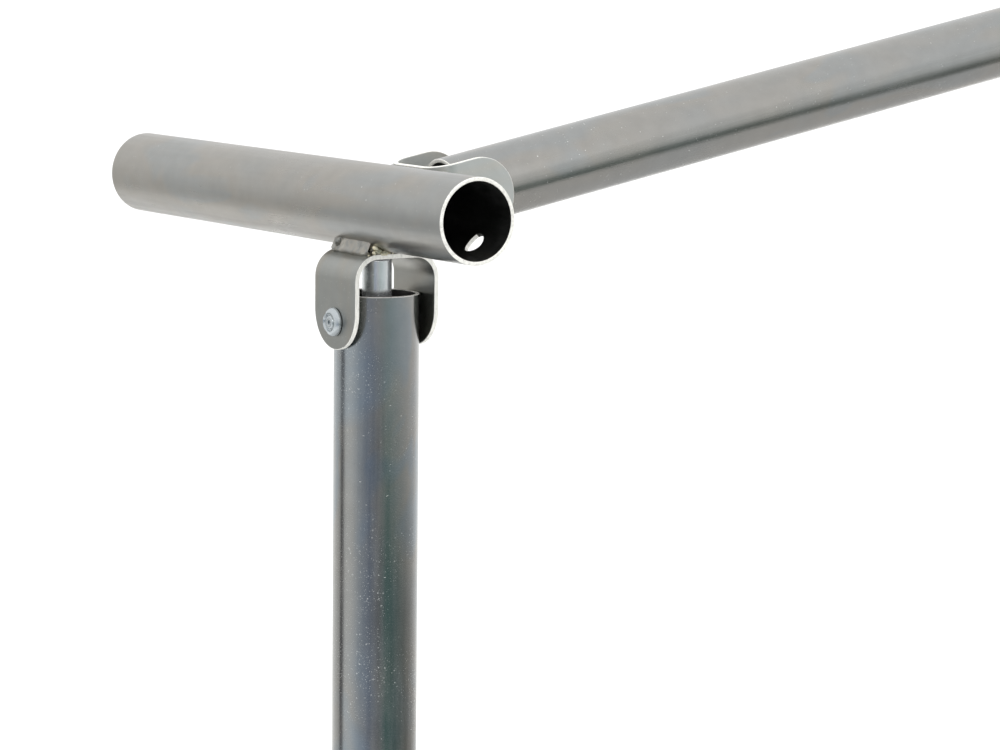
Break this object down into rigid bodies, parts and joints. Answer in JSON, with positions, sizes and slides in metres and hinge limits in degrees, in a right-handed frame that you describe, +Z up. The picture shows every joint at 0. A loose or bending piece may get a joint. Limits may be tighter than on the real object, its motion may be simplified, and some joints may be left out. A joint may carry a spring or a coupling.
{
  "type": "folding garment stand",
  "caption": "Free-standing folding garment stand of zinc-plated tube: hinged top rail, short open cross tubes, splayed telescopic posts and cross feet.",
  "frame": {"origin": "on the floor, under the middle of the stand", "axes": "+X along the rail towards the right-hand end, +Y along the cross tubes away from the front, +Z up"},
  "size_m": [2.0856, 0.4666, 1.2006],
  "materials": {
    "tube_zinc": "bright zinc plate with long vertical reflections and fine scratches",
    "strap_zinc": "satin warm-grey zinc plate with a faint iridescent tint",
    "weld_metal": "rippled weld bead under zinc plate, with spatter",
    "bolt_steel": "blue-white zinc-plated button-head screw",
    "black_plastic": "fine-grained black moulding",
    "nylon": "natural nylon"
  },
  "bodies": {
    "rail": {"rail_tube": "tube_zinc"},
    "left_head": {"left_cross_tube": "strap_zinc", "left_stub_pin": "tube_zinc", "left_post_clevis": "strap_zinc", "left_post_weld_outer": "weld_metal", "left_post_weld_inner": "weld_metal", "left_rail_clevis": "strap_zinc", "left_rail_weld_upper": "weld_metal", "left_rail_weld_lower": "weld_metal", "left_post_bolt": "bolt_steel", "left_post_nut": "bolt_steel", "left_rail_bolt": "bolt_steel", "left_rail_nut": "bolt_steel", "left_rail_spacer_front": "nylon", "left_rail_spacer_back": "nylon"},
    "left_post": {"left_post_tube": "tube_zinc", "left_post_collar": "black_plastic"},
    "left_knob": {"left_post_knob": "black_plastic"},
    "left_leg": {"left_leg_tube": "tube_zinc", "left_foot_socket": "strap_zinc", "left_foot_tube": "tube_zinc", "left_foot_cap_front": "black_plastic", "left_foot_cap_back": "black_plastic", "left_foot_bolt": "bolt_steel", "left_foot_nut": "bolt_steel"},
    "right_head": {"right_cross_tube": "strap_zinc", "right_stub_pin": "tube_zinc", "right_post_clevis": "strap_zinc", "right_post_weld_outer": "weld_metal", "right_post_weld_inner": "weld_metal", "right_rail_clevis": "strap_zinc", "right_rail_weld_upper": "weld_metal", "right_rail_weld_lower": "weld_metal", "right_post_bolt": "bolt_steel", "right_post_nut": "bolt_steel", "right_rail_bolt": "bolt_steel", "right_rail_nut": "bolt_steel", "right_rail_spacer_front": "nylon", "right_rail_spacer_back": "nylon"},
    "right_post": {"right_post_tube": "tube_zinc", "right_post_collar": "black_plastic"},
    "right_knob": {"right_post_knob": "black_plastic"},
    "right_leg": {"right_leg_tube": "tube_zinc", "right_foot_socket": "strap_zinc", "right_foot_tube": "tube_zinc", "right_foot_cap_front": "black_plastic", "right_foot_cap_back": "black_plastic", "right_foot_bolt": "bolt_steel", "right_foot_nut": "bolt_steel"}
  },
  "joints": [
    {"name": "left_post_fold", "type": "hinge", "parent": "rail", "child": "left_head", "pos_m": [-0.76, 0, 1.18188], "axis": [0, -1, 0], "range_deg": [-79, 97]},
    {"name": "left_head_rock", "type": "hinge", "parent": "left_head", "child": "left_post", "pos_m": [-0.80577, 0, 1.14305], "axis": [0.9816, 0, -0.1908], "range_deg": [-30, 30]},
    {"name": "left_height_slide", "type": "slide", "parent": "left_post", "child": "left_leg", "axis": [0.1908, 0, 0.9816], "range_m": [0, 0.455]},
    {"name": "left_knob_turn", "type": "hinge", "parent": "left_post", "child": "left_knob", "pos_m": [-0.9499, 0, 0.55882], "axis": [-0.9816, 0, 0.1908], "range_deg": [0, 360]},
    {"name": "right_post_fold", "type": "hinge", "parent": "rail", "child": "right_head", "pos_m": [0.76, 0, 1.18188], "axis": [0, 1, 0], "range_deg": [-79, 97]},
    {"name": "right_head_rock", "type": "hinge", "parent": "right_head", "child": "right_post", "pos_m": [0.80577, 0, 1.14305], "axis": [-0.9816, 0, -0.1908], "range_deg": [-30, 30]},
    {"name": "right_height_slide", "type": "slide", "parent": "right_post", "child": "right_leg", "axis": [-0.1908, 0, 0.9816], "range_m": [0, 0.455]},
    {"name": "right_knob_turn", "type": "hinge", "parent": "right_post", "child": "right_knob", "pos_m": [0.9499, 0, 0.55882], "axis": [0.9816, 0, 0.1908], "range_deg": [0, 360]}
  ]
}
